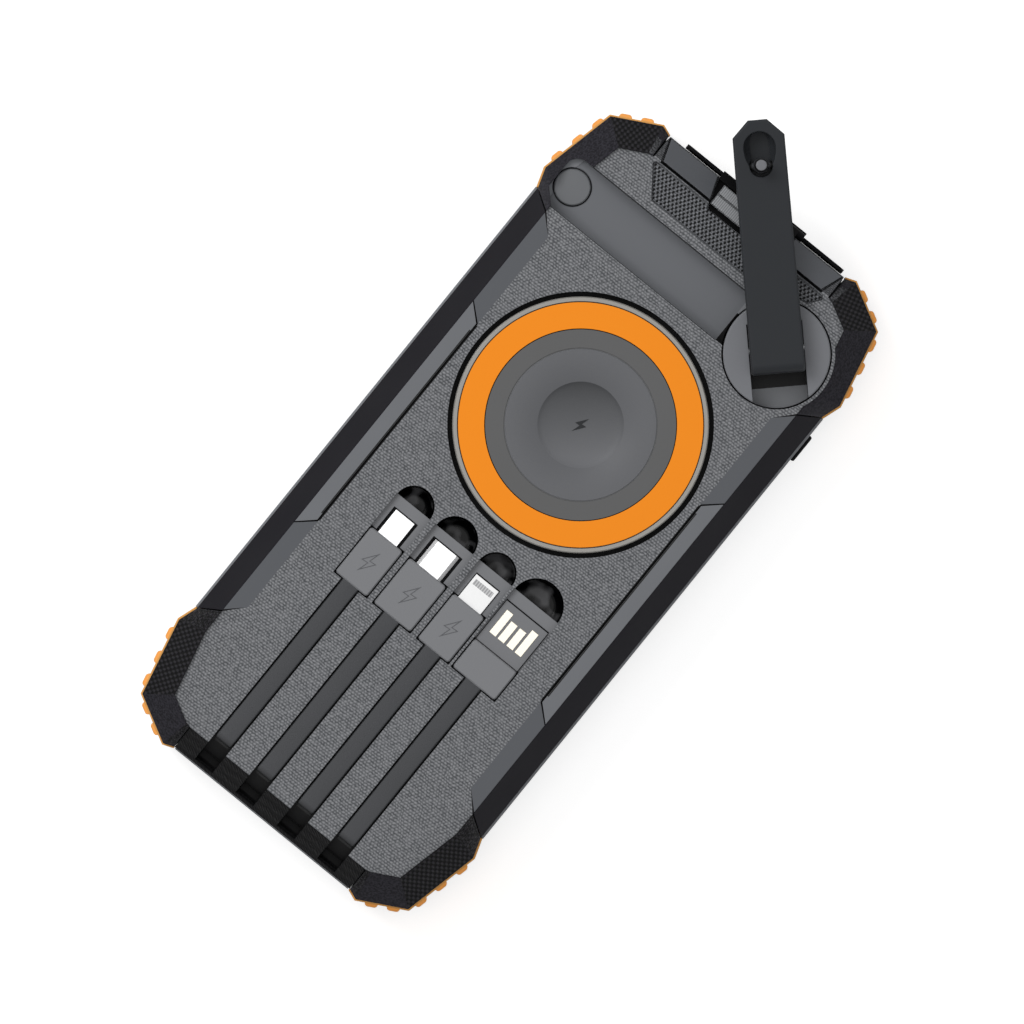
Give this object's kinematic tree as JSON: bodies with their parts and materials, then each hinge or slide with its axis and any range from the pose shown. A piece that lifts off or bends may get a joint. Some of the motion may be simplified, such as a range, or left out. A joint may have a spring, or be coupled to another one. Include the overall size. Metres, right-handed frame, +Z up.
{
  "type": "hand crank phone charger",
  "caption": "Flat power bank with a folding hand crank, solar face, wireless charging pad and built-in leads, with bumpers round its corners.",
  "frame": {"origin": "middle of the rest plane under the solar face, on the casing's long middle line; Y = 0 is 87.2 mm from the crank end", "axes": "+Z up to the back face with the crank, +Y along the case to the crank end, +X across it to the crank's side"},
  "size_m": [0.0866, 0.1952, 0.0443],
  "materials": {
    "casing": "fine leather-like grain",
    "smooth_grey": "smooth satin",
    "band_grey": "satin",
    "charcoal": "smooth satin",
    "black": "matte",
    "black_rubber": "matte, moulded",
    "orange": "satin",
    "orange_rubber": "matte",
    "silver_ring": "turned",
    "cable": "matte",
    "plug_grey": "satin",
    "connector_metal": "bright nickel",
    "contact_gold": "gold plated",
    "glass": "clear",
    "cell_blue": "dark blue cells under busbars",
    "pouch": "foil pouch",
    "board_green": "solder mask",
    "steel": "turned",
    "acetal": "moulded white",
    "copper": "enamelled copper wire",
    "magnet": "nickel plated",
    "bronze": "sintered"
  },
  "bodies": {
    "case": {"front_cover": "casing", "side_frame": "band_grey", "back_cover": "casing", "solar_panel": "cell_blue", "panel_glass": "glass", "side_rail_left": "charcoal", "side_rail_right": "charcoal", "side_inserts": "smooth_grey", "corner_guard_top_left": "black_rubber", "corner_guard_top_right": "black_rubber", "corner_guard_bottom_left": "black_rubber", "corner_guard_bottom_right": "black_rubber", "corner_bumper_top_left": "orange_rubber", "corner_bumper_top_right": "orange_rubber", "corner_bumper_bottom_left": "orange_rubber", "corner_bumper_bottom_right": "orange_rubber", "end_guard": "black_rubber", "end_plates": "smooth_grey", "mesh_panel": "smooth_grey", "port_strap": "band_grey", "gear_screws": "steel", "pad_ring": "silver_ring", "pad_band": "orange", "pad_disc": "plug_grey", "charge_coil": "copper", "pad_magnets": "magnet", "hub_bush": "bronze", "idler_axle": "steel", "generator_can": "steel", "generator_coils": "copper", "gear_plate": "black", "channel_cap": "smooth_grey", "cable_roots": "cable", "button_switch": "black", "main_board": "board_green", "battery_cells": "pouch", "usb_socket": "connector_metal", "type_c_socket": "connector_metal"},
    "hub": {"crank_hub": "smooth_grey", "drive_gear": "acetal", "arm_pin": "steel"},
    "arm": {"crank_arm": "charcoal"},
    "peg": {"crank_peg": "plug_grey"},
    "idler": {"idler_gear": "acetal"},
    "rotor": {"generator_rotor": "magnet"},
    "flap": {"port_flap": "black_rubber"},
    "button": {"power_button": "black_rubber"},
    "lead_micro": {"cable_micro": "cable", "plug_micro": "plug_grey", "head_micro": "connector_metal"},
    "lead_type_c": {"cable_type_c": "cable", "plug_type_c": "plug_grey", "head_type_c": "connector_metal"},
    "lead_slim": {"cable_slim": "cable", "plug_slim": "plug_grey", "head_slim": "connector_metal"},
    "lead_usb": {"cable_usb": "cable", "plug_usb": "plug_grey", "head_usb": "plug_grey", "usb_contacts": "contact_gold"}
  },
  "joints": [
    {"name": "hub_spin", "type": "hinge", "parent": "case", "child": "hub", "pos_m": [0.02425, 0.06425, 0.033], "axis": [0, 0, 1], "continuous": true},
    {"name": "arm_fold", "type": "hinge", "parent": "hub", "child": "arm", "pos_m": [0.02345, 0.06508, 0.0326], "axis": [0.7206, 0.6934, 0], "range_deg": [0, 145]},
    {"name": "peg_fold", "type": "hinge", "parent": "arm", "child": "peg", "pos_m": [-0.00519, 0.09484, 0.03685], "axis": [-0.7206, -0.6934, 0], "range_deg": [0, 90]},
    {"name": "idler_spin", "type": "hinge", "parent": "case", "child": "idler", "pos_m": [0.00885, 0.06425, 0.017], "axis": [0, 0, 1], "continuous": true},
    {"name": "generator_spin", "type": "hinge", "parent": "case", "child": "rotor", "pos_m": [-0.00585, 0.06425, 0.012], "axis": [0, 0, 1], "continuous": true},
    {"name": "flap_swing", "type": "hinge", "parent": "case", "child": "flap", "pos_m": [0.002, 0.0883, 0.0272], "axis": [1, 0, 0], "range_deg": [0, 90]},
    {"name": "power_press", "type": "slide", "parent": "case", "child": "button", "axis": [-1, 0, 0], "range_m": [0, 0.0006], "stiffness_N_per_m": 150},
    {"name": "micro_lift", "type": "hinge", "parent": "case", "child": "lead_micro", "pos_m": [-0.0176, -0.0823, 0.03185], "axis": [1, 0, 0], "range_deg": [0, 75]},
    {"name": "type_c_lift", "type": "hinge", "parent": "case", "child": "lead_type_c", "pos_m": [-0.00575, -0.0823, 0.03185], "axis": [1, 0, 0], "range_deg": [0, 75]},
    {"name": "slim_lift", "type": "hinge", "parent": "case", "child": "lead_slim", "pos_m": [0.00615, -0.0823, 0.03185], "axis": [1, 0, 0], "range_deg": [0, 75]},
    {"name": "usb_lift", "type": "hinge", "parent": "case", "child": "lead_usb", "pos_m": [0.0179, -0.0823, 0.03185], "axis": [1, 0, 0], "range_deg": [0, 75]}
  ],
  "couplings": [
    {"joint": "idler_spin", "follows": "hub_spin", "ratio": -3},
    {"joint": "generator_spin", "follows": "hub_spin", "ratio": 9.6}
  ]
}
